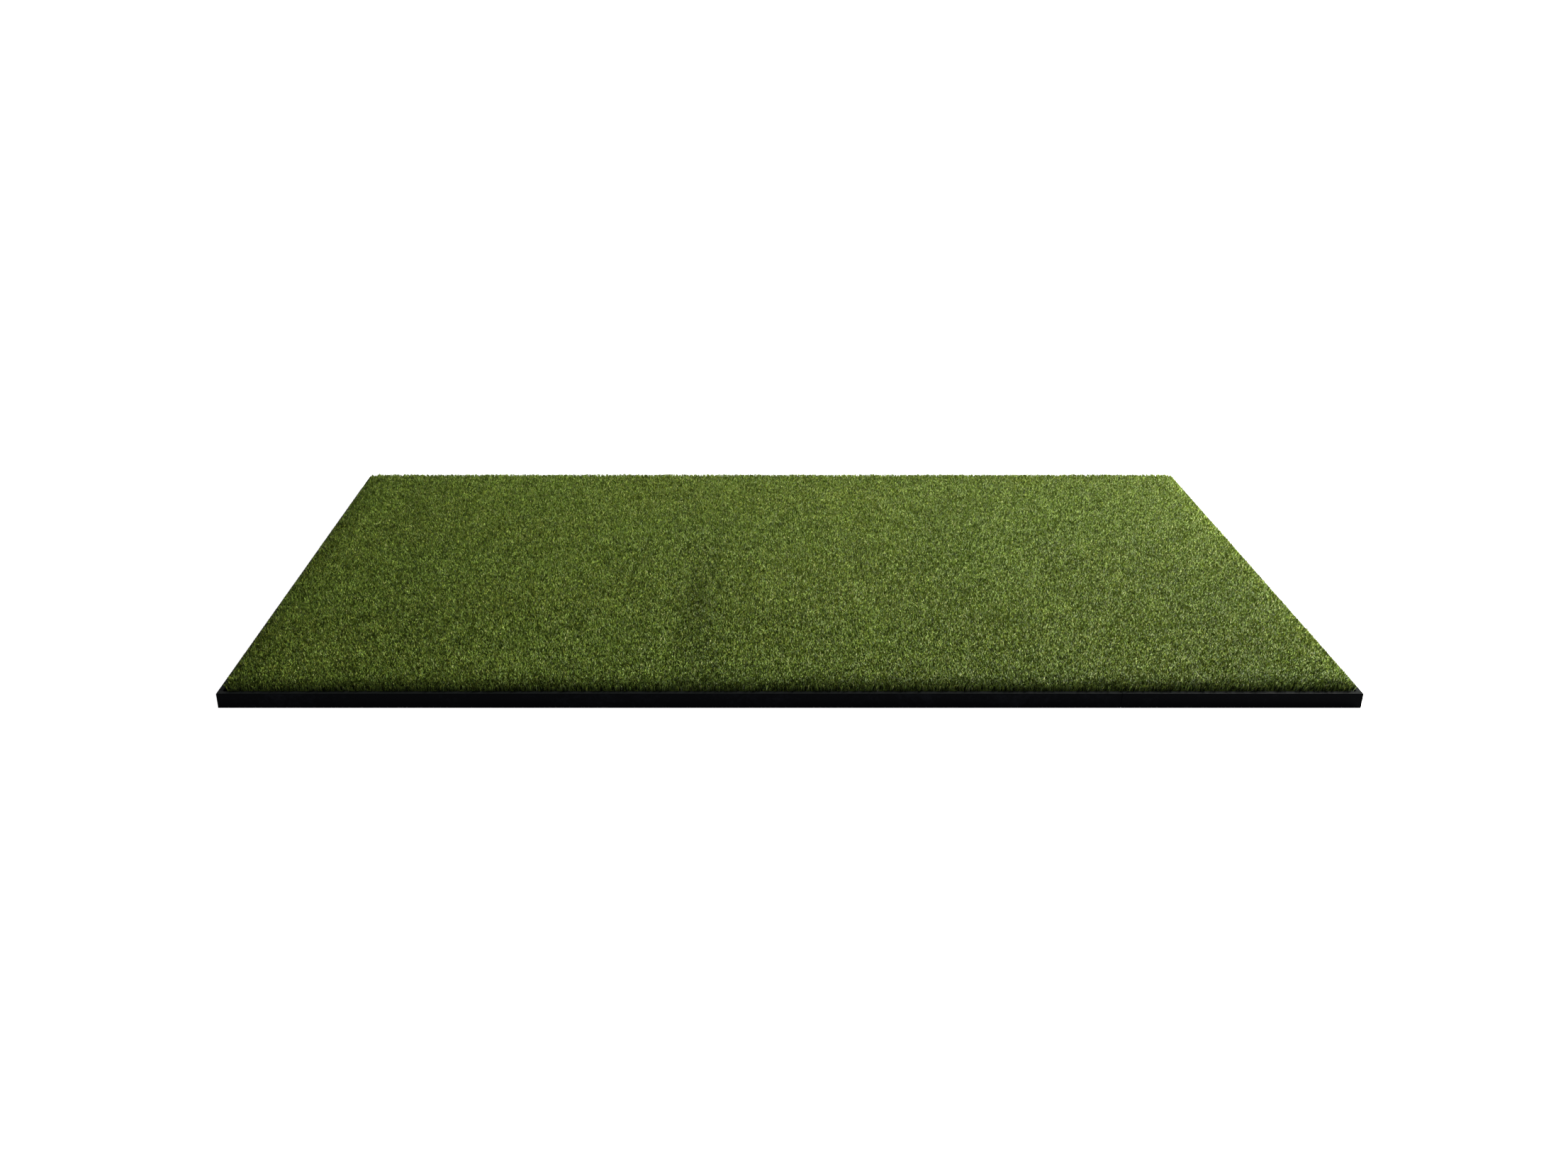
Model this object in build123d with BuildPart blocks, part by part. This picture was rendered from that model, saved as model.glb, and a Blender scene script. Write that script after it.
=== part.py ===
"""Golf hitting mat: a turf panel that drops into a shallow black tray.

The tray is a ribbed rubber base sheet held in the groove of an edging profile. The edging is cut in
lengths, mitred at the corners and spliced along the two long sides, and keys in its hollow chamber
hold the lengths together. The turf panel is a foam pad, the turf's two backings and its pile.

Frame: millimetres, +Z up, X along the mat's length, Y along its depth, the long front side at -Y.
The origin is the centre of the footprint, on the floor.
"""

from build123d import *
import os

# Footprint: 7 ft by 4 ft over the edging
length = 2134.0
depth = 1219.0

# Heights above the floor
rim_height = 30.0
pile_top = 43.0

# Edging profile, measured inwards from its outer face and up from the floor
edge_width = 10.0
rim_round = 1.0
groove_bottom = 2.0
groove_back = 4.0
chamber_bottom = 12.0
chamber_top = 26.0
chamber_outer = 2.5
chamber_inner = 7.5

# Where the edging is cut
joint_gap = 0.3
splice_from_end = 448.5
splice_chamfer = 0.4

# Keys in the edging's chamber
key_leg = 60.0
key_lead_in = 1.5

# Base sheet and the ribs that it stands on
sheet_thickness = 4.0
sheet_edge_gap = 0.5
rib_width = 20.0
rib_pitch = 60.0
rib_end_gap = 12.0

# Turf panel
panel_gap = 3.0
foam_thickness = 16.0
secondary_thickness = 2.0
primary_thickness = 1.5
panel_corner_radius = 4.0
pile_edge_round = 12.0
pile_corner_radius = 14.0

# Worked-out sizes
sheet_bottom = groove_bottom
sheet_top = sheet_bottom + sheet_thickness
foam_top = sheet_top + foam_thickness
secondary_top = foam_top + secondary_thickness
primary_top = secondary_top + primary_thickness
panel_length = length - 2 * (edge_width + panel_gap)
panel_depth = depth - 2 * (edge_width + panel_gap)
chamber_width = chamber_inner - chamber_outer
chamber_height = chamber_top - chamber_bottom
chamber_middle = (chamber_inner + chamber_outer) / 2
chamber_level = (chamber_top + chamber_bottom) / 2

# The corners of the footprint, and the directions along the sides that start at them, anticlockwise
front_left = Vector(-length / 2, -depth / 2, 0)
front_right = Vector(length / 2, -depth / 2, 0)
rear_right = Vector(length / 2, depth / 2, 0)
rear_left = Vector(-length / 2, depth / 2, 0)
to_right = Vector(1, 0, 0)
to_rear = Vector(0, 1, 0)
to_left = Vector(-1, 0, 0)
to_front = Vector(0, -1, 0)

# Both long sides are spliced at the same distance from the end that their run reaches
front_splice = front_right + to_left * splice_from_end
rear_splice = rear_left + to_right * splice_from_end


def save(part, name):
    """Labels a finished piece and writes it as the node of that name."""
    part.label = name
    export_step(part, f"parts/{name}.step")


def edging(start, end, run, inward, mitre_start, mitre_end):
    """A length of edging from start to end, its outer face on that line, with mitred or square ends."""
    with BuildPart() as strip:
        with BuildSketch(Plane(origin=start, x_dir=inward, z_dir=run)) as section:
            with BuildLine():
                Polyline(
                    (0, 0),
                    (0, rim_height),
                    (edge_width, rim_height),
                    (edge_width, sheet_top),
                    (groove_back, sheet_top),
                    (groove_back, sheet_bottom),
                    (edge_width, sheet_bottom),
                    (edge_width, 0),
                    close=True,
                )
            make_face()
            rim_corners = section.vertices().group_by(Axis.Y)[-1]
            fillet(rim_corners, radius=rim_round)
            with Locations((chamber_middle, chamber_level)):
                Rectangle(chamber_width, chamber_height, mode=Mode.SUBTRACT)
        extrude(amount=(end - start).length)
        if mitre_start:
            cut = (run - inward).normalized()
            split(bisect_by=Plane(origin=start + cut * joint_gap / 2, z_dir=cut), keep=Keep.TOP)
        else:
            square_end = strip.faces().sort_by(Axis(start, run))[0]
            chamfer(square_end.outer_wire().edges(), length=splice_chamfer)
        if mitre_end:
            cut = (run * -1 - inward).normalized()
            split(bisect_by=Plane(origin=end + cut * joint_gap / 2, z_dir=cut), keep=Keep.TOP)
        else:
            square_end = strip.faces().sort_by(Axis(start, run))[-1]
            chamfer(square_end.outer_wire().edges(), length=splice_chamfer)
    return strip.part


def corner_key(corner, run, inward):
    """An angle that slides into the chambers of the two lengths that meet at a corner."""
    reach = chamber_outer + key_leg
    with BuildPart() as key:
        with BuildSketch(Plane(origin=corner, x_dir=run, z_dir=(0, 0, 1)).offset(chamber_bottom)):
            with BuildLine():
                Polyline(
                    (chamber_outer, chamber_outer),
                    (reach, chamber_outer),
                    (reach, chamber_inner),
                    (chamber_inner, chamber_inner),
                    (chamber_inner, reach),
                    (chamber_outer, reach),
                    close=True,
                )
            make_face()
        extrude(amount=chamber_height)
        for leg in (run, inward):
            tip = key.faces().sort_by(Axis(corner, leg))[-1]
            chamfer(tip.edges(), length=key_lead_in)
    return key.part


def splice_key(middle, run, inward):
    """A straight bar that slides into the chambers of the two lengths that meet along a side."""
    with BuildPart() as key:
        with BuildSketch(Plane(origin=middle - run * key_leg, x_dir=inward, z_dir=run)):
            with Locations((chamber_middle, chamber_level)):
                Rectangle(chamber_width, chamber_height)
        extrude(amount=2 * key_leg)
        tips = key.faces().sort_by(Axis(middle, run))
        chamfer(tips[0].edges() + tips[-1].edges(), length=key_lead_in)
    return key.part


def panel_layer(bottom, top):
    """A flat layer of the turf panel, with its corners slightly rounded in plan."""
    with BuildPart() as layer:
        with BuildSketch(Plane.XY.offset(bottom)):
            RectangleRounded(panel_length, panel_depth, panel_corner_radius)
        extrude(amount=top - bottom)
    return layer.part


os.makedirs("parts", exist_ok=True)

# Base sheet: a flat sheet in the edging's groove, on ribs that run from front to rear
sheet_length = length - 2 * (groove_back + sheet_edge_gap)
sheet_depth = depth - 2 * (groove_back + sheet_edge_gap)
rib_run = depth - 2 * rib_end_gap
rib_count = int((length - 2 * rib_end_gap - rib_width) // rib_pitch) // 2 * 2 + 1
with BuildPart() as base_sheet:
    with BuildSketch(Plane.XY.offset(sheet_bottom)):
        Rectangle(sheet_length, sheet_depth)
    extrude(amount=sheet_thickness)
    with BuildSketch(Plane.XY):
        with GridLocations(rib_pitch, rib_run, rib_count, 1):
            Rectangle(rib_width, rib_run)
    extrude(amount=sheet_bottom)
save(base_sheet.part, "base_sheet")

# Edging, anticlockwise from the front left corner
half_gap = joint_gap / 2
save(
    edging(front_left, front_splice + to_left * half_gap, to_right, to_rear, True, False),
    "front_edging_long",
)
save(
    edging(front_splice + to_right * half_gap, front_right, to_right, to_rear, False, True),
    "front_edging_short",
)
save(edging(front_right, rear_right, to_rear, to_left, True, True), "right_edging")
save(
    edging(rear_right, rear_splice + to_right * half_gap, to_left, to_front, True, False),
    "rear_edging_long",
)
save(
    edging(rear_splice + to_left * half_gap, rear_left, to_left, to_front, False, True),
    "rear_edging_short",
)
save(edging(rear_left, front_left, to_front, to_right, True, True), "left_edging")

# Keys, hidden in the edging's chamber
corners = {
    "front_left": (front_left, to_right, to_rear),
    "front_right": (front_right, to_rear, to_left),
    "rear_right": (rear_right, to_left, to_front),
    "rear_left": (rear_left, to_front, to_right),
}
for place, (corner, run, inward) in corners.items():
    save(corner_key(corner, run, inward), f"corner_key_{place}")
save(splice_key(front_splice, to_right, to_rear), "splice_key_front")
save(splice_key(rear_splice, to_left, to_front), "splice_key_rear")

# Turf panel, from the bottom up
save(panel_layer(sheet_top, foam_top), "foam_pad")
save(panel_layer(foam_top, secondary_top), "secondary_backing")
save(panel_layer(secondary_top, primary_top), "primary_backing")

# Pile: its outer shape, rounded over where the edge tufts lean out
with BuildPart() as turf_pile:
    with BuildSketch(Plane.XY.offset(primary_top)):
        RectangleRounded(panel_length, panel_depth, pile_corner_radius)
    extrude(amount=pile_top - primary_top)
    pile_rim = turf_pile.faces().sort_by(Axis.Z)[-1].edges()
    fillet(pile_rim, radius=pile_edge_round)
save(turf_pile.part, "turf_pile")
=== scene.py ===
"""Looks of the golf hitting mat: tufted pile, backings, foam pad, rubber base sheet and edging.

Metres, in the CAD frame: X along the mat, Y from its front edge to its rear one, Z up.
The pile is real geometry. Every tuft is a bunch of bent blades, set in rows that run from front to rear.
"""

import math

import bpy
import mathutils
import numpy as np
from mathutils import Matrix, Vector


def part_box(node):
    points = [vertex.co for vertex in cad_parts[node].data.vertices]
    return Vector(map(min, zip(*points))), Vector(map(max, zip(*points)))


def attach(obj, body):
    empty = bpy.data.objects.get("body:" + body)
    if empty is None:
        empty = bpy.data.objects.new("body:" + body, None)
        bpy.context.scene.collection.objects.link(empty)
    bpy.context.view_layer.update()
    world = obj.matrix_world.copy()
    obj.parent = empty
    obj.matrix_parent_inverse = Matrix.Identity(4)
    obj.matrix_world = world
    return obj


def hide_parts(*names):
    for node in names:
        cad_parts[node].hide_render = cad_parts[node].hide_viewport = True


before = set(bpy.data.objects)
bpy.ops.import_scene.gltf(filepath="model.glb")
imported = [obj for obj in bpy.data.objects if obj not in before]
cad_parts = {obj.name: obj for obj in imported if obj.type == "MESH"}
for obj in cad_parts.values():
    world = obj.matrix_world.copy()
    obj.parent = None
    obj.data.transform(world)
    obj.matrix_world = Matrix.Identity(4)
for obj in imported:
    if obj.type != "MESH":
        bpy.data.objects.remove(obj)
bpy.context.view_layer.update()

MM = 0.001
FULL_TURN = 2 * math.pi

# Places read from the frame
pile_low, pile_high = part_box("turf_pile")
foam_low, foam_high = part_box("foam_pad")
coat_low, coat_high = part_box("secondary_backing")
weave_low, weave_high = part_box("primary_backing")
PANEL_X = pile_high.x
PANEL_Y = pile_high.y
PILE_ROOT = pile_low.z
PILE_TOP = pile_high.z

# Tufting: rows run along Y, a gauge apart, and each row has a tuft at every stitch. The first tuft's
# place is a share of a gauge or a stitch, in from the panel's side
ROW_GAUGE = 4.8 * MM
STITCH = 4.5 * MM
FIRST_TUFT = 0.7
WANDER_X = 0.45 * MM
WANDER_Y = 0.55 * MM
PILE_CORNER = 3 * MM
ROOT_MARGIN = 1.0 * MM
STRIPS = 12
PILE_SEED = 5

# The tuft that is missing, and the distance from it within which no tuft stands
BARE_TUFT = (1.0078, -0.0791)
BARE_RADIUS = 6.5 * MM

# A blade's shape. It bends at its knee, a share of the way up. A pair is the least and the most of what
# varies from blade to blade, and angles are in radians
BLADES_PER_TUFT = 6
TUFT_RADIUS = 1.4 * MM
ROOT_SPREAD = (0.2, 1.0)
KNEE = 0.80
ROOT_HALF_WIDTH = 0.4 * MM
KNEE_HALF_WIDTH = (0.55 * MM, 0.90 * MM)
HEADING_SCATTER = 0.5
LENGTH_SCATTER = 0.028
SPLAY = (0.02, 0.16)
CURL = (0.30, 1.10)
CURL_TWIST = (-1.2, 1.2)
CURL_DROOP = 0.35
LEAST_RISE = 0.3
TIP_LEAN = 1.5
TIP_ABOVE_PILE = 1.2 * MM

# Widths of the bands along the panel's sides. Tufts lean out in the lip, and their normals in the crown.
# The front side is rounded over gently in its zone and more in its roll, and painted darker there as
# painted shade. The right side's yarn is painted lighter, as painted light
LIP_ZONE = 10 * MM
CROWN_ZONE = 50 * MM
FRONT_ZONE = 110 * MM
FRONT_ROLL = 40 * MM
ROLL_POWER = 1.5
RIGHT_ZONE = 30 * MM

# Heights of the tufts, as shares of the pile's thickness
MEAN_HEIGHT = 0.985
HEIGHT_SWAY = 0.02
HEIGHT_PATCH = 0.05
LIP_DROP = 0.03
FRONT_DROP = 0.04
ROLL_DROP = 0.10
HEIGHT_SCATTER = 0.25 * MM

# Lean of the tufts, in metres sideways for a metre up
LEAN_SWAY = 0.04
LEAN_PATCH = 0.06
LIP_LEAN_X = 0.36
LIP_LEAN_Y = 0.26
ROLL_LEAN = 0.08

# Tilt of the blades' normals, as their sideways part where their upward part is 1
CROWN_TILT = 0.40
FRONT_TILT = 0.20
ROLL_TILT = 0.55
TUFT_TILT = 0.10
BLADE_TILT = 0.28

# Shade of the yarn, from 0, dark, to 1, light, and what the bands take from it or add to it
MEAN_SHADE = 0.44
# Painted shade: how much darker the yarn is painted along the front, in its zone and in its roll
FRONT_PAINTED_SHADE = 0.06
ROLL_PAINTED_SHADE = 0.30
# Painted light: how much lighter the yarn is painted along the right side
RIGHT_PAINTED_LIGHT = 0.17
TUFT_SCATTER = 0.11
BLADE_SCATTER = 0.13
LEAST_SHADE = 0.02
MOST_SHADE = 0.98

# Random patterns in the nap, as (patch size across the rows, along the rows, lightness, seed)
NAP_PATTERNS = (
    (0.55, 0.40, 0.030, 11),
    (0.16, 0.70, 0.030, 12),
    (0.035, 0.30, 0.025, 13),
    (0.030, 0.026, 0.035, 14),
    (0.011, 0.010, 0.030, 15),
)

# Places where the nap lies another way, as (x, y, reach across, reach along, lightness)
NAP_MARKS = (
    (-0.175, -0.28, 0.045, 0.42, -0.150),
    (-0.270, 0.05, 0.020, 0.30, 0.045),
    (0.170, -0.30, 0.035, 0.30, 0.040),
    (0.190, 0.03, 0.016, 0.10, -0.060),
    (0.020, 0.34, 0.070, 0.16, -0.040),
    (0.620, 0.02, 0.040, 0.12, -0.035),
    (-0.700, -0.28, 0.060, 0.22, -0.030),
    (0.130, 0.42, 0.100, 0.10, 0.035),
)

# Hues of the yarn, each as (darkest, lightest). They share one ramp, so that a blade's colour is a place
# on it. The gap is half the step from hue to hue, and the margin is the share of a hue that is left unused
# at each end
HUES = {
    "green": ((0.027, 0.045, 0.004), (0.287, 0.426, 0.056)),
    "olive": ((0.035, 0.046, 0.003), (0.330, 0.405, 0.054)),
    "deep": ((0.013, 0.030, 0.003), (0.157, 0.270, 0.037)),
    "straw": ((0.244, 0.287, 0.066), (0.580, 0.630, 0.240)),
}
HUE_GAP = 0.005
HUE_MARGIN = 0.02

# Shares of the blades by hue. The rest are green
OLIVE_SHARE = 0.26
OLIVE_SWAY = 0.16
OLIVE_PATCH = (0.25, 0.20)
DEEP_SHARE = 0.12
STRAW_SHARE = 0.02

# Share of the light on the yarn that goes through it
SHOWS_THROUGH = 0.16

# Thatch: a lumpy solid round the roots, whose top drops at the sides
THATCH_STEP = 6.5 * MM
THATCH_INSET = 3.2 * MM
THATCH_RIM = 2 * MM
THATCH_RISE = 7.5 * MM
THATCH_LUMP = 1.6 * MM
THATCH_SHOULDER = 8 * MM
THATCH_SEED = 9

# Cut layers under the pile. Their sides wander in waves of random rate, in radians for a metre, phase and
# size
LAYER_CORNER = 4 * MM
OUTLINE_STEP = 12 * MM
ROUND_STEPS = 3
CUT_WAVES = 6
WAVE_RATE = (8, 40)
WAVE_PHASE = (0, 6.28)
WAVE_SIZE = (0.3, 1)

# Studio. The walls' top and the ceiling's start are sines of heights above the horizon
FLOOR_HALF = 160.0
FLOOR_DROP = 0.2 * MM
WALL_TOP = 0.34
CEILING_START = 0.52
WALL_LIGHT = (1.0, 1.0, 1.0, 1)
CEILING_LIGHT = (0.10, 0.10, 0.102, 1)
KEY_PLACE = (2.7, 1.7, 3.3)
KEY_AIM = (0, 0, 0)
KEY_POWER = 640.0
KEY_COLOUR = (1.0, 0.985, 0.95)
KEY_SIZE = 1.7

# Camera, which looks down by its dip, in degrees
CAMERA_PLACE = (-0.1165, -2.8905, 1.2552)
CAMERA_DIP = 23.89
SENSOR_WIDTH = 36.0
LENS = 31.89
LENS_SHIFT = 0.0363
CLIP_END = 500.0


# ---------------------------------------------------------------- node helpers


class Nodes:
    """A new material's node tree, with short ways to add nodes."""

    def __init__(self, name):
        self.material = bpy.data.materials.new(name)
        self.material.use_nodes = True
        self.tree = self.material.node_tree
        self.shader = self.tree.nodes["Principled BSDF"]
        self.output = self.tree.nodes["Material Output"]

    def add(self, kind, **settings):
        node = self.tree.nodes.new("ShaderNode" + kind)
        for key, value in settings.items():
            setattr(node, key, value)
        return node

    def link(self, source, target):
        self.tree.links.new(source, target)

    def plain(self, **values):
        """Sets the shader's own sockets. Underscores in a name stand for spaces."""
        for key, value in values.items():
            self.shader.inputs[key.replace("_", " ")].default_value = value

    def place(self, stretch=(1, 1, 1)):
        """The point in the object's frame, scaled along each axis."""
        mapping = self.add("Mapping")
        mapping.inputs["Scale"].default_value = stretch
        self.link(self.add("TexCoord").outputs["Object"], mapping.inputs["Vector"])
        return mapping.outputs["Vector"]

    def noise(self, vector, scale, detail=3.0, roughness=0.5):
        node = self.add("TexNoise")
        node.inputs["Scale"].default_value = scale
        node.inputs["Detail"].default_value = detail
        node.inputs["Roughness"].default_value = roughness
        self.link(vector, node.inputs["Vector"])
        return node.outputs["Fac"]

    def cells(self, vector, scale):
        """The distance to the nearest of many scattered points."""
        node = self.add("TexVoronoi", feature="F1")
        node.inputs["Scale"].default_value = scale
        self.link(vector, node.inputs["Vector"])
        return node.outputs["Distance"]

    def math(self, operation, a, b):
        node = self.add("Math", operation=operation)
        for socket, value in zip(node.inputs, (a, b)):
            if isinstance(value, (int, float)):
                socket.default_value = value
            else:
                self.link(value, socket)
        return node.outputs["Value"]

    def weigh(self, a, share_a, b, share_b):
        """A weighted sum of two values."""
        return self.math("ADD", self.math("MULTIPLY", a, share_a), self.math("MULTIPLY", b, share_b))

    def ramp(self, value, stops):
        """A colour ramp. A stop is (position, colour), and a plain number is a grey."""
        node = self.add("ValToRGB")
        marks = node.color_ramp.elements
        while len(marks) < len(stops):
            marks.new(0.5)
        for mark, (position, colour) in zip(marks, stops):
            mark.position = position
            grey = isinstance(colour, (int, float))
            mark.color = (colour, colour, colour, 1) if grey else (*colour, 1)
        self.link(value, node.inputs["Fac"])
        return node.outputs["Color"]

    def mix(self, factor, a, b, blend="MIX"):
        """A mix of two colours. Of the node's sockets, 0 is the factor, and 6 and 7 take the colours."""
        node = self.add("Mix", data_type="RGBA", blend_type=blend)
        slots = (node.inputs[0], node.inputs[6], node.inputs[7])
        for socket, value in zip(slots, (factor, a, b)):
            if isinstance(value, (int, float)):
                socket.default_value = value
            elif isinstance(value, tuple):
                socket.default_value = (*value, 1)
            else:
                self.link(value, socket)
        return node.outputs[2]

    def bump(self, height, strength, distance, before=None):
        """A normal from a height, added to the one before it where there is one."""
        node = self.add("Bump")
        node.inputs["Strength"].default_value = strength
        node.inputs["Distance"].default_value = distance
        self.link(height, node.inputs["Height"])
        if before is not None:
            self.link(before, node.inputs["Normal"])
        return node.outputs["Normal"]

    def colour(self, value):
        self.link(value, self.shader.inputs["Base Color"])

    def roughness(self, value):
        self.link(value, self.shader.inputs["Roughness"])

    def normal(self, value):
        self.link(value, self.shader.inputs["Normal"])


# ---------------------------------------------------------------- materials


def hue_stops():
    """The yarn ramp's stops: an equal stretch for each hue, with a short step between neighbours."""
    stops = []
    for k, (darkest, lightest) in enumerate(HUES.values()):
        start = k / len(HUES) + HUE_GAP if stops else 0.0
        end = (k + 1) / len(HUES) - HUE_GAP if k + 1 < len(HUES) else 1.0
        stops.append((start, darkest))
        stops.append((end, lightest))
    return stops


def yarn_material():
    """Nylon pile yarn. A blade's U is its place on the hues' ramp, and V is the height along it. Along V
    the colour is painted darker towards the root, as painted shade.
    """
    m = Nodes("pile_yarn")
    uv = m.add("UVMap", uv_map="OFBake")
    split = m.add("SeparateXYZ")
    m.link(uv.outputs["UV"], split.inputs["Vector"])
    shade = m.ramp(split.outputs["X"], hue_stops())
    # Painted shade: the ramp along V darkens each blade towards its root
    height = m.ramp(split.outputs["Y"], [(0.0, 0.08), (0.45, 0.42), (KNEE, 0.94), (1.0, 1.0)])
    yarn = m.mix(1.0, shade, height, "MULTIPLY")
    m.colour(yarn)
    m.plain(Roughness=0.55, Specular_IOR_Level=0.19)
    through = m.add("BsdfTranslucent")
    m.link(yarn, through.inputs["Color"])
    thin = m.add("MixShader")
    thin.inputs["Fac"].default_value = SHOWS_THROUGH
    m.link(m.shader.outputs["BSDF"], thin.inputs[1])
    m.link(through.outputs["BSDF"], thin.inputs[2])
    m.link(thin.outputs["Shader"], m.output.inputs["Surface"])
    return m.material


def thatch_material():
    """The curled root zone under the blade tips, in dark and lighter green lumps."""
    m = Nodes("pile_thatch")
    place = m.place()
    dark, light = (0.036, 0.054, 0.008), (0.125, 0.180, 0.030)
    m.colour(m.ramp(m.noise(place, scale=420.0, detail=2.0), [(0.3, dark), (0.75, light)]))
    m.plain(Roughness=0.9, Specular_IOR_Level=0.1)
    m.normal(m.bump(m.noise(place, scale=900.0, detail=2.0), strength=0.7, distance=0.8 * MM))
    return m.material


def edging_material(name, along):
    """Black extruded plastic with die lines along its run, faint scuffs and a little dust. Its upward faces
    are lighter, partly settled dust and partly painted highlight.
    """
    m = Nodes(name)
    fine_across, long_along = 900.0, 2.0
    die = [fine_across, fine_across, fine_across]
    die["XY".index(along)] = long_along
    lines = m.noise(m.place(tuple(die)), scale=1.0, detail=2.0)
    place = m.place()
    haze = m.noise(place, scale=9.0, detail=4.0, roughness=0.6)
    scuffs = m.noise(place, scale=140.0, detail=5.0, roughness=0.7)
    dust = m.ramp(m.math("MULTIPLY", haze, scuffs), [(0.24, 0.0), (0.44, 1.0)])
    facing = m.add("SeparateXYZ")
    m.link(m.add("NewGeometry").outputs["Normal"], facing.inputs["Vector"])
    # Upward faces are painted lighter: partly settled dust, partly painted highlight on the rim
    upward = m.ramp(facing.outputs["Z"], [(0.55, 0.0), (0.95, 1.0)])
    clean, dusty, settled_dust_and_painted_highlight = (0.0002, 0.0003, 0.0006), (0.0016, 0.0019, 0.0027), (0.0060, 0.0068, 0.0066)
    m.colour(m.mix(upward, m.mix(dust, clean, dusty), settled_dust_and_painted_highlight))
    m.roughness(m.ramp(m.weigh(haze, 0.7, scuffs, 0.3), [(0.3, 0.26), (0.7, 0.46)]))
    m.plain(Specular_IOR_Level=0.010)
    fine = m.bump(lines, strength=0.25, distance=0.10 * MM)
    m.normal(m.bump(scuffs, strength=0.12, distance=0.10 * MM, before=fine))
    return m.material


def key_material():
    """Dark grey moulded plastic with a spark-eroded texture."""
    m = Nodes("key_plastic")
    place = m.place()
    grain = m.noise(place, scale=1500.0, detail=2.0)
    dark, light = (0.040, 0.040, 0.044), (0.060, 0.060, 0.064)
    m.colour(m.ramp(m.noise(place, scale=60.0), [(0.3, dark), (0.7, light)]))
    m.roughness(m.ramp(grain, [(0.3, 0.55), (0.7, 0.7)]))
    m.normal(m.bump(grain, strength=0.3, distance=0.1 * MM))
    return m.material


def base_rubber_material():
    """Black sheet rubber with a pebbled skin, pale specks of filler and patches of dust."""
    m = Nodes("base_rubber")
    place = m.place()
    pebbles = m.cells(place, scale=420.0)
    specks = m.ramp(m.cells(place, scale=260.0), [(0.03, 1.0), (0.09, 0.0)])
    dust = m.ramp(m.noise(place, scale=7.0, detail=5.0, roughness=0.65), [(0.42, 0.0), (0.75, 1.0)])
    clean, dusty, speck = (0.010, 0.010, 0.011), (0.030, 0.029, 0.027), (0.11, 0.11, 0.105)
    m.colour(m.mix(m.math("MULTIPLY", specks, 0.35), m.mix(dust, clean, dusty), speck))
    m.roughness(m.ramp(dust, [(0.0, 0.62), (1.0, 0.86)]))
    m.plain(Specular_IOR_Level=0.3)
    m.normal(m.bump(pebbles, strength=0.5, distance=0.4 * MM))
    return m.material


def foam_material():
    """Charcoal closed-cell foam, cut so that its cells show, each cut cell painted darker in its sunk
    middle as painted shade.
    """
    m = Nodes("foam")
    place = m.place()
    cells = m.cells(place, scale=620.0)
    coarse = m.cells(place, scale=230.0)
    # Painted shade: each cut cell is painted darker in its sunk middle than at its wall
    pit_painted_shade, wall, worn = (0.022, 0.023, 0.026), (0.058, 0.060, 0.066), (0.040, 0.042, 0.045)
    wear = m.math("MULTIPLY", m.noise(place, scale=12.0), 0.5)
    m.colour(m.mix(wear, m.ramp(cells, [(0.15, pit_painted_shade), (0.6, wall)]), worn))
    m.plain(Roughness=0.88, Specular_IOR_Level=0.2)
    fine = m.bump(cells, strength=0.6, distance=0.5 * MM)
    m.normal(m.bump(coarse, strength=0.4, distance=0.5 * MM, before=fine))
    return m.material


def coat_material():
    """Black secondary coating: a poured skin with drag marks and small pits."""
    m = Nodes("backing_coat")
    place = m.place()
    drawn_out = (60.0, 6.0, 60.0)
    drag = m.noise(m.place(drawn_out), scale=1.0, detail=4.0)
    pits = m.ramp(m.cells(place, scale=320.0), [(0.05, 0.0), (0.2, 1.0)])
    dark, light = (0.016, 0.017, 0.016), (0.034, 0.036, 0.033)
    m.colour(m.ramp(drag, [(0.3, dark), (0.7, light)]))
    m.roughness(m.ramp(drag, [(0.3, 0.38), (0.7, 0.6)]))
    m.normal(m.bump(m.weigh(drag, 0.6, pits, 0.4), strength=0.4, distance=0.4 * MM))
    return m.material


def weave_material():
    """Woven polypropylene tape: two sets of bands that cross, painted darker where the weave sinks, as
    painted shade.
    """
    m = Nodes("backing_weave")
    split = m.add("SeparateXYZ")
    radians_per_metre = 2600.0
    m.link(m.place((radians_per_metre,) * 3), split.inputs["Vector"])
    warp = m.math("SINE", split.outputs["X"], 0.0)
    weft = m.math("SINE", split.outputs["Y"], 0.0)
    over = m.math("MULTIPLY", warp, weft)
    # Painted shade: where the weave's relief sinks, its colour is painted darker
    under, upper = (0.012, 0.018, 0.010), (0.050, 0.062, 0.036)
    m.colour(m.ramp(over, [(0.0, under), (0.6, upper)]))
    m.plain(Roughness=0.6, Specular_IOR_Level=0.3)
    m.normal(m.bump(over, strength=0.5, distance=0.3 * MM))
    return m.material


def floor_material():
    """Pale studio floor that gives off most of its light, so that it looks as white as the walls."""
    m = Nodes("studio_floor")
    dark, light = (0.93, 0.93, 0.93), (0.95, 0.95, 0.95)
    m.colour(m.ramp(m.noise(m.place(), scale=0.4, detail=2.0), [(0.3, dark), (0.7, light)]))
    m.plain(Roughness=0.8, Specular_IOR_Level=0.1, Emission_Color=(1, 1, 1, 1), Emission_Strength=0.88)
    return m.material


# ---------------------------------------------------------------- mesh helpers


def mesh_object(name, points, faces, material, smooth=False):
    """A mesh from a list of points and a list of faces, each of which lists its corners' numbers."""
    mesh = bpy.data.meshes.new(name)
    mesh.from_pydata([tuple(p) for p in points], [], [tuple(f) for f in faces])
    mesh.polygons.foreach_set("use_smooth", [smooth] * len(mesh.polygons))
    mesh.materials.append(material)
    piece = bpy.data.objects.new(name, mesh)
    bpy.context.scene.collection.objects.link(piece)
    return piece


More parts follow.
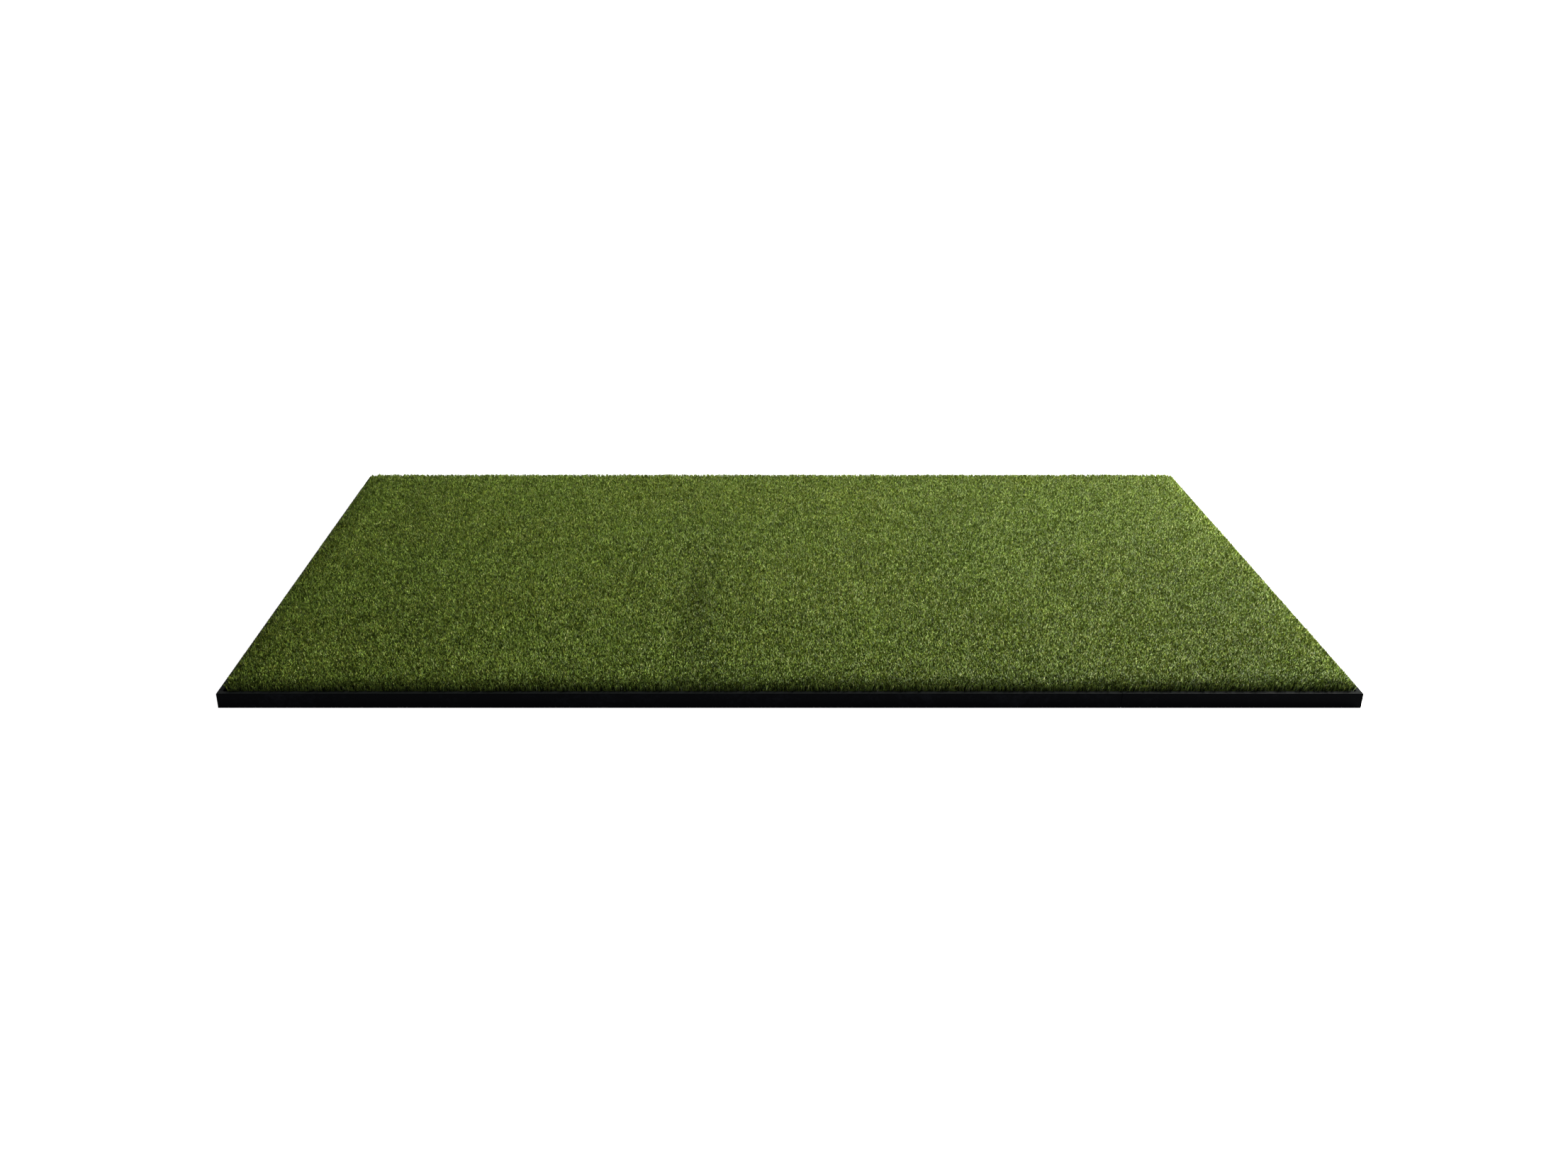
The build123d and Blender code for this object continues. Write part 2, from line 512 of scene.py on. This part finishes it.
def rounded_outline(half_x, half_y, radius, step):
    """Points anticlockwise round a rectangle with rounded corners, and the outward normal at each."""
    points, normals = [], []
    arc = max(3, round(radius * math.pi / 2 / step))
    corners = ((1, -1, -90), (1, 1, 0), (-1, 1, 90), (-1, -1, 180))
    for side_x, side_y, start in corners:
        centre = np.array([side_x * (half_x - radius), side_y * (half_y - radius)])
        for k in range(arc + 1):
            angle = math.radians(start + 90 * k / arc)
            normal = np.array([math.cos(angle), math.sin(angle)])
            points.append(centre + normal * radius)
            normals.append(normal)
        along = np.array([-normals[-1][1], normals[-1][0]])
        run = 2 * ((half_y if abs(along[1]) > 0.5 else half_x) - radius)
        count = max(2, round(run / step))
        base = points[-1]
        for k in range(1, count):
            points.append(base + along * run * k / count)
            normals.append(normals[-1])
    return np.array(points), np.array(normals)


def field(x, y, cell_x, cell_y, seed):
    """A smooth random field from -1 to 1, whose patches are about cell_x by cell_y metres."""
    rng = np.random.default_rng(seed)
    before, spare = 1, 5  # rows of knots outside the panel, so that a point beyond its side has knots too
    across = (x + PANEL_X) / cell_x + before
    along = (y + PANEL_Y) / cell_y + before
    shape = (int(2 * PANEL_X / cell_x) + spare, int(2 * PANEL_Y / cell_y) + spare)
    knots = rng.uniform(-1, 1, shape)
    i, j = np.floor(across).astype(int), np.floor(along).astype(int)
    s, t = across - i, along - j
    s, t = s * s * (3 - 2 * s), t * t * (3 - 2 * t)
    near = knots[i, j] * (1 - s) + knots[i + 1, j] * s
    far = knots[i, j + 1] * (1 - s) + knots[i + 1, j + 1] * s
    return near * (1 - t) + far * t


def cut_wander(outline, wobble, seed):
    """How far out a hand-cut side wanders at each point of its outline, from minus the wobble to 0."""
    rng = np.random.default_rng(seed)
    travel = np.cumsum(np.linalg.norm(np.diff(outline, axis=0, append=outline[:1]), axis=1))
    uneven = 0
    for _ in range(CUT_WAVES):
        rate, phase, size = rng.uniform(*WAVE_RATE), rng.uniform(*WAVE_PHASE), rng.uniform(*WAVE_SIZE)
        uneven = uneven + size * np.sin(rate * travel + phase)
    return wobble * (uneven / np.abs(uneven).max() - 1) / 2


def slab(name, low, high, material, edge_round, wobble, seed):
    """A flat soft layer with softened edges and slightly uneven cut sides, as one closed mesh."""
    outline, normals = rounded_outline(high.x, high.y, LAYER_CORNER, OUTLINE_STEP)
    uneven = cut_wander(outline, wobble, seed)
    rings = []
    for k in range(ROUND_STEPS, -1, -1):
        angle = math.pi / 2 * k / ROUND_STEPS
        rings.append((low.z + edge_round * (1 - math.sin(angle)), edge_round * (1 - math.cos(angle))))
    rings += [(high.z + low.z - z, inset) for z, inset in reversed(rings)]
    points, count = [], len(outline)
    for z, inset in rings:
        edge = outline + normals * (uneven - inset)[:, None]
        points.append(np.column_stack([edge, np.full(count, z)]))
    faces = []
    for r in range(len(rings) - 1):
        for k in range(count):
            n = (k + 1) % count
            faces.append((r * count + k, r * count + n, (r + 1) * count + n, (r + 1) * count + k))
    last = (len(rings) - 1) * count
    faces.append(tuple(range(count - 1, -1, -1)))
    faces.append(tuple(range(last, last + count)))
    return mesh_object(name, np.vstack(points), faces, material)


# ---------------------------------------------------------------- pile


def inside(x, y):
    """How far each point lies inside the pile's rounded outline, in metres."""
    ax, ay = np.abs(x), np.abs(y)
    cx, cy = PANEL_X - PILE_CORNER, PANEL_Y - PILE_CORNER
    corner = (ax > cx) & (ay > cy)
    plain = np.minimum(PANEL_X - ax, PANEL_Y - ay)
    rounded = PILE_CORNER - np.hypot(ax - cx, ay - cy)
    return np.where(corner, rounded, plain)


def outward(x, y):
    """The direction to the nearest side, as x and y of a unit vector."""
    step, tiny = 1 * MM, 1e-6
    gx = (inside(x - step, y) - inside(x + step, y)) / (2 * step)
    gy = (inside(x, y - step) - inside(x, y + step)) / (2 * step)
    size = np.maximum(np.hypot(gx, gy), tiny)
    return gx / size, gy / size


def nearness(distance, zone):
    """From 0 at the zone's inner limit to 1 at the side."""
    return np.clip(1 - distance / zone, 0, 1)


def per_blade(values):
    """Each tuft's value, once for each of its blades."""
    return np.repeat(values, BLADES_PER_TUFT, axis=0)


def tuft_places(rng):
    """Roots of the tufts, row by row, with the small wander that a tufting needle leaves."""
    rows = np.arange(-PANEL_X + ROW_GAUGE * FIRST_TUFT, PANEL_X, ROW_GAUGE)
    stitches = np.arange(-PANEL_Y + STITCH * FIRST_TUFT, PANEL_Y, STITCH)
    x, y = np.meshgrid(rows, stitches, indexing="ij")
    row_shift = rng.uniform(-0.5, 0.5, len(rows)) * STITCH
    y = y + row_shift[:, None]
    x = (x + rng.normal(0, WANDER_X, x.shape)).ravel()
    y = (y + rng.normal(0, WANDER_Y, y.shape)).ravel()
    bare = np.hypot(x - BARE_TUFT[0], y - BARE_TUFT[1]) < BARE_RADIUS
    keep = (inside(x, y) > ROOT_MARGIN) & ~bare
    return x[keep], y[keep]


def nap_shade(x, y):
    """How much lighter the yarn looks for the way it lies, in patterns and in single marks."""
    light = 0
    for across, along, lightness, seed in NAP_PATTERNS:
        light = light + lightness * field(x, y, across, along, seed)
    for at_x, at_y, wide, long, lightness in NAP_MARKS:
        reach = ((x - at_x) / wide) ** 2 + ((y - at_y) / long) ** 2
        light = light + lightness * np.exp(-reach)
    return light


def tufts(rng, x, y):
    """What each tuft's blades share: their height, shade, lean and the tilt of their normals."""
    count = len(x)
    out_x, out_y = outward(x, y)
    lip, crown = nearness(inside(x, y), LIP_ZONE), nearness(inside(x, y), CROWN_ZONE)
    front = nearness(y + PANEL_Y, FRONT_ZONE)
    roll = nearness(y + PANEL_Y, FRONT_ROLL) ** ROLL_POWER
    level = MEAN_HEIGHT + HEIGHT_SWAY * field(x, y, HEIGHT_PATCH, HEIGHT_PATCH, seed=21)
    tall = (PILE_TOP - PILE_ROOT) * level
    tall = tall * (1 - LIP_DROP * lip**2 - FRONT_DROP * front**2 - ROLL_DROP * roll)
    tall = tall + rng.normal(0, HEIGHT_SCATTER, count)
    shade = MEAN_SHADE + nap_shade(x, y) + rng.normal(0, TUFT_SCATTER, count)
    # Painted shade along the front side and painted light along the right side
    shade = shade - FRONT_PAINTED_SHADE * front - ROLL_PAINTED_SHADE * roll + RIGHT_PAINTED_LIGHT * nearness(PANEL_X - x, RIGHT_ZONE)
    lean_x = LEAN_SWAY * field(x, y, LEAN_PATCH, LEAN_PATCH, seed=22) + LIP_LEAN_X * out_x * lip
    lean_y = LEAN_SWAY * field(x, y, LEAN_PATCH, LEAN_PATCH, seed=23) + LIP_LEAN_Y * out_y * lip
    lean_y = lean_y - ROLL_LEAN * roll
    tilt_x = CROWN_TILT * out_x * crown + rng.normal(0, TUFT_TILT, count)
    tilt_y = CROWN_TILT * out_y * crown + rng.normal(0, TUFT_TILT, count)
    tilt_y = tilt_y - FRONT_TILT * front - ROLL_TILT * roll
    return tall, shade, np.column_stack([lean_x, lean_y]), np.column_stack([tilt_x, tilt_y])


def blade_points(rng, x, y, tall, lean):
    """Five points for each blade: two at its root, two at its knee and one at its tip."""
    count = len(x) * BLADES_PER_TUFT
    turn = rng.uniform(0, FULL_TURN, len(x))
    around = np.tile(np.arange(BLADES_PER_TUFT) * FULL_TURN / BLADES_PER_TUFT, len(x))
    heading = per_blade(turn) + around + rng.normal(0, HEADING_SCATTER, count)
    off = TUFT_RADIUS * rng.uniform(*ROOT_SPREAD, count)
    way = np.column_stack([np.cos(heading), np.sin(heading)])
    root = per_blade(np.column_stack([x, y])) + way * off[:, None]
    length = per_blade(tall) * rng.normal(1.0, LENGTH_SCATTER, count)
    splay = rng.uniform(*SPLAY, count)
    curl = rng.uniform(*CURL, count)
    twist = rng.uniform(*CURL_TWIST, count)
    curl_way = np.column_stack([np.cos(heading + twist), np.sin(heading + twist)])
    lean = per_blade(lean)

    low_run, high_run = KNEE * length, (1 - KNEE) * length
    knee = root + (way * splay[:, None] + lean) * low_run[:, None]
    tip = knee + (curl_way * curl[:, None] + lean * TIP_LEAN) * high_run[:, None]
    face = rng.uniform(0, FULL_TURN, count)
    across = np.column_stack([np.cos(face), np.sin(face)])
    knee_half_width = rng.uniform(*KNEE_HALF_WIDTH, count)[:, None]
    z_knee = PILE_ROOT + low_run
    z_tip = z_knee + high_run * np.sqrt(np.clip(1 - CURL_DROOP * curl**2, LEAST_RISE, 1))
    z_tip = np.minimum(z_tip, PILE_TOP + TIP_ABOVE_PILE)
    z_root = np.full(count, PILE_ROOT)
    return np.stack(
        [
            np.column_stack([root - across * ROOT_HALF_WIDTH, z_root]),
            np.column_stack([root + across * ROOT_HALF_WIDTH, z_root]),
            np.column_stack([knee + across * knee_half_width, z_knee]),
            np.column_stack([knee - across * knee_half_width, z_knee]),
            np.column_stack([tip, z_tip]),
        ],
        axis=1,
    )


def blade_colours(rng, x, y, shade):
    """Each blade's place on the hues' ramp: the stretch of its hue, and its shade along that."""
    count = len(x) * BLADES_PER_TUFT
    green, olive, deep, straw = range(len(HUES))
    olive_share = per_blade(OLIVE_SHARE + OLIVE_SWAY * field(x, y, *OLIVE_PATCH, seed=24))
    draw = rng.uniform(0, 1, count)
    choices = [draw < STRAW_SHARE, draw < STRAW_SHARE + DEEP_SHARE, draw > 1 - olive_share]
    hue = np.select(choices, [straw, deep, olive], green)
    shade = np.clip(per_blade(shade) + rng.normal(0, BLADE_SCATTER, count), LEAST_SHADE, MOST_SHADE)
    return (hue + HUE_MARGIN + (1 - 2 * HUE_MARGIN) * shade) / len(HUES)


def blade_normals(rng, tilt):
    """One normal for each blade. They stand for the curled yarn's many facets, and all point up."""
    count = len(tilt) * BLADES_PER_TUFT
    scatter_x = rng.normal(0, BLADE_TILT, count)
    scatter_y = rng.normal(0, BLADE_TILT, count)
    tilt = per_blade(tilt) + np.column_stack([scatter_x, scatter_y])
    normals = np.column_stack([tilt, np.ones(count)])
    return normals / np.linalg.norm(normals, axis=1)[:, None]


def blade_mesh(name, points, colours, normals, material):
    """A mesh of five-point blades: a quad to the knee, points 0 to 3, and a triangle to the tip, 4."""
    count = len(points)
    heights = np.array([0.0, 0.0, KNEE, KNEE, 1.0])
    corners = np.array([0, 1, 2, 3, 3, 2, 4])
    face_starts = np.array([0, 4])
    mesh = bpy.data.meshes.new(name)
    mesh.vertices.add(len(heights) * count)
    mesh.vertices.foreach_set("co", points.astype(np.float32).ravel())
    loops = (np.arange(count)[:, None] * len(heights) + corners).ravel()
    mesh.loops.add(len(loops))
    mesh.loops.foreach_set("vertex_index", loops.astype(np.int32))
    starts = (np.arange(count)[:, None] * len(corners) + face_starts).ravel()
    mesh.polygons.add(len(starts))
    mesh.polygons.foreach_set("loop_start", starts.astype(np.int32))
    mesh.polygons.foreach_set("use_smooth", np.ones(len(starts), bool))
    uv = np.stack([np.repeat(colours, len(corners)), np.tile(heights[corners], count)], axis=1)
    layer = mesh.uv_layers.new(name="OFBake")
    layer.data.foreach_set("uv", uv.astype(np.float32).ravel())
    mesh.update(calc_edges=True)
    mesh.normals_split_custom_set_from_vertices(np.repeat(normals, len(heights), axis=0))
    mesh.materials.append(material)
    piece = bpy.data.objects.new(name, mesh)
    bpy.context.scene.collection.objects.link(piece)
    return piece


def make_pile(material):
    """The blades, in strips from left to right so that no mesh is too large."""
    rng = np.random.default_rng(PILE_SEED)
    x, y = tuft_places(rng)
    tall, shade, lean, tilt = tufts(rng, x, y)
    points = blade_points(rng, x, y, tall, lean)
    colours = blade_colours(rng, x, y, shade)
    normals = blade_normals(rng, tilt)
    strip = np.clip(((x + PANEL_X) / (2 * PANEL_X) * STRIPS).astype(int), 0, STRIPS - 1)
    strip = per_blade(strip)
    for k in range(STRIPS):
        here = strip == k
        piece = blade_mesh(f"pile_strip_{k + 1:02d}", points[here], colours[here], normals[here], material)
        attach(piece, "turf_panel")
        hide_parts("turf_pile")


def make_thatch(material):
    """The root zone as one lumpy closed solid, below the tips."""
    half_x, half_y = PANEL_X - THATCH_INSET, PANEL_Y - THATCH_INSET
    columns = int(2 * half_x / THATCH_STEP) + 1
    rows = int(2 * half_y / THATCH_STEP) + 1
    across, along = np.linspace(-half_x, half_x, columns), np.linspace(-half_y, half_y, rows)
    x, y = np.meshgrid(across, along, indexing="ij")
    rng = np.random.default_rng(THATCH_SEED)
    lumps = rng.uniform(-1, 1, x.shape) * THATCH_LUMP
    shoulder = np.clip(np.minimum(half_x - np.abs(x), half_y - np.abs(y)) / THATCH_SHOULDER, 0, 1)
    top = PILE_ROOT + THATCH_RIM + (THATCH_RISE + lumps) * np.sqrt(shoulder)
    upper = np.column_stack([x.ravel(), y.ravel(), top.ravel()])
    lower = upper.copy()
    lower[:, 2] = PILE_ROOT
    grid = np.arange(columns * rows).reshape(columns, rows)
    faces = np.stack([grid[:-1, :-1], grid[1:, :-1], grid[1:, 1:], grid[:-1, 1:]], axis=-1).reshape(-1, 4)
    ring = np.concatenate([grid[:, 0], grid[-1, 1:], grid[-2::-1, -1], grid[0, -2:0:-1]])
    after = np.roll(ring, -1)
    base = np.arange(len(ring)) + columns * rows
    base_after = np.roll(base, -1)
    sides = np.stack([ring, base, base_after, after], axis=-1)
    points = np.vstack([upper, lower[ring]])
    everything = [tuple(f) for f in faces] + [tuple(f) for f in sides] + [tuple(base[::-1])]
    piece = mesh_object("pile_thatch", points, everything, material, smooth=True)
    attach(piece, "turf_panel")
    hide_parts("turf_pile")


# ---------------------------------------------------------------- turf panel's lower layers


def make_panel_layers():
    """The foam and the two backings under the pile, each as large as its CAD node."""
    cut = {"edge_round": 1.2 * MM, "wobble": 1.5 * MM, "seed": 31}
    foam = slab("foam_pad_cut", foam_low, foam_high, foam_material(), **cut)
    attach(foam, "turf_panel")
    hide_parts("foam_pad")
    cut = {"edge_round": 0.5 * MM, "wobble": 0.8 * MM, "seed": 32}
    coat = slab("turf_coat", coat_low, coat_high, coat_material(), **cut)
    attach(coat, "turf_panel")
    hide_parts("secondary_backing")
    cut = {"edge_round": 0.3 * MM, "wobble": 0.8 * MM, "seed": 33}
    weave = slab("turf_weave", weave_low, weave_high, weave_material(), **cut)
    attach(weave, "turf_panel")
    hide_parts("primary_backing")


# ---------------------------------------------------------------- tray


def finish_tray():
    """Gives each CAD node of the tray its material."""
    run_x = edging_material("edging_along_x", "X")
    run_y = edging_material("edging_along_y", "Y")
    rubber = base_rubber_material()
    keys = key_material()
    for name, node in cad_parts.items():
        if name in ("left_edging", "right_edging"):
            chosen = run_y
        elif "edging" in name:
            chosen = run_x
        elif "key" in name:
            chosen = keys
        elif name == "base_sheet":
            chosen = rubber
        else:
            continue
        node.data.materials.clear()
        node.data.materials.append(chosen)


# ---------------------------------------------------------------- studio


def make_floor():
    """A floor so wide that its far side meets the walls' light at the horizon."""
    half = FLOOR_HALF
    floor = mesh_object(
        "studio_floor",
        [(-half, -half, 0), (half, -half, 0), (half, half, 0), (-half, half, 0)],
        [(0, 1, 2, 3)],
        floor_material(),
    )
    floor.location.z = -FLOOR_DROP


def make_world():
    """White walls round the horizon and a dim ceiling, from the upward part of the direction."""
    world = bpy.data.worlds.new("studio")
    world.use_nodes = True
    tree = world.node_tree
    place = tree.nodes.new("ShaderNodeTexCoord")
    split = tree.nodes.new("ShaderNodeSeparateXYZ")
    backdrop = tree.nodes.new("ShaderNodeValToRGB")
    walls, ceiling = backdrop.color_ramp.elements
    walls.position, walls.color = WALL_TOP, WALL_LIGHT
    ceiling.position, ceiling.color = CEILING_START, CEILING_LIGHT
    tree.links.new(place.outputs["Generated"], split.inputs["Vector"])
    tree.links.new(split.outputs["Z"], backdrop.inputs["Fac"])
    tree.links.new(backdrop.outputs["Color"], tree.nodes["Background"].inputs["Color"])
    bpy.context.scene.world = world


def make_key_light():
    """A large soft lamp above the mat's rear right corner."""
    data = bpy.data.lights.new("key", "AREA")
    data.energy = KEY_POWER
    data.color = KEY_COLOUR
    data.size = KEY_SIZE
    light = bpy.data.objects.new("key", data)
    light.location = KEY_PLACE
    away = mathutils.Vector(KEY_PLACE) - mathutils.Vector(KEY_AIM)
    light.rotation_euler = away.to_track_quat("Z", "Y").to_euler()
    light.visible_camera = False
    bpy.context.scene.collection.objects.link(light)


def make_camera():
    """A one-point view of the front side, as the photograph's."""
    data = bpy.data.cameras.new("camera")
    data.sensor_width = SENSOR_WIDTH
    data.lens = LENS
    data.shift_x = LENS_SHIFT
    data.clip_end = CLIP_END
    camera = bpy.data.objects.new("camera", data)
    camera.location = CAMERA_PLACE
    camera.rotation_euler = (math.radians(90 - CAMERA_DIP), 0, 0)
    bpy.context.scene.collection.objects.link(camera)
    bpy.context.scene.camera = camera


make_camera()
finish_tray()
make_pile(yarn_material())
make_thatch(thatch_material())
make_panel_layers()
make_floor()
make_world()
make_key_light()
bpy.context.scene.view_settings.view_transform = "Standard"
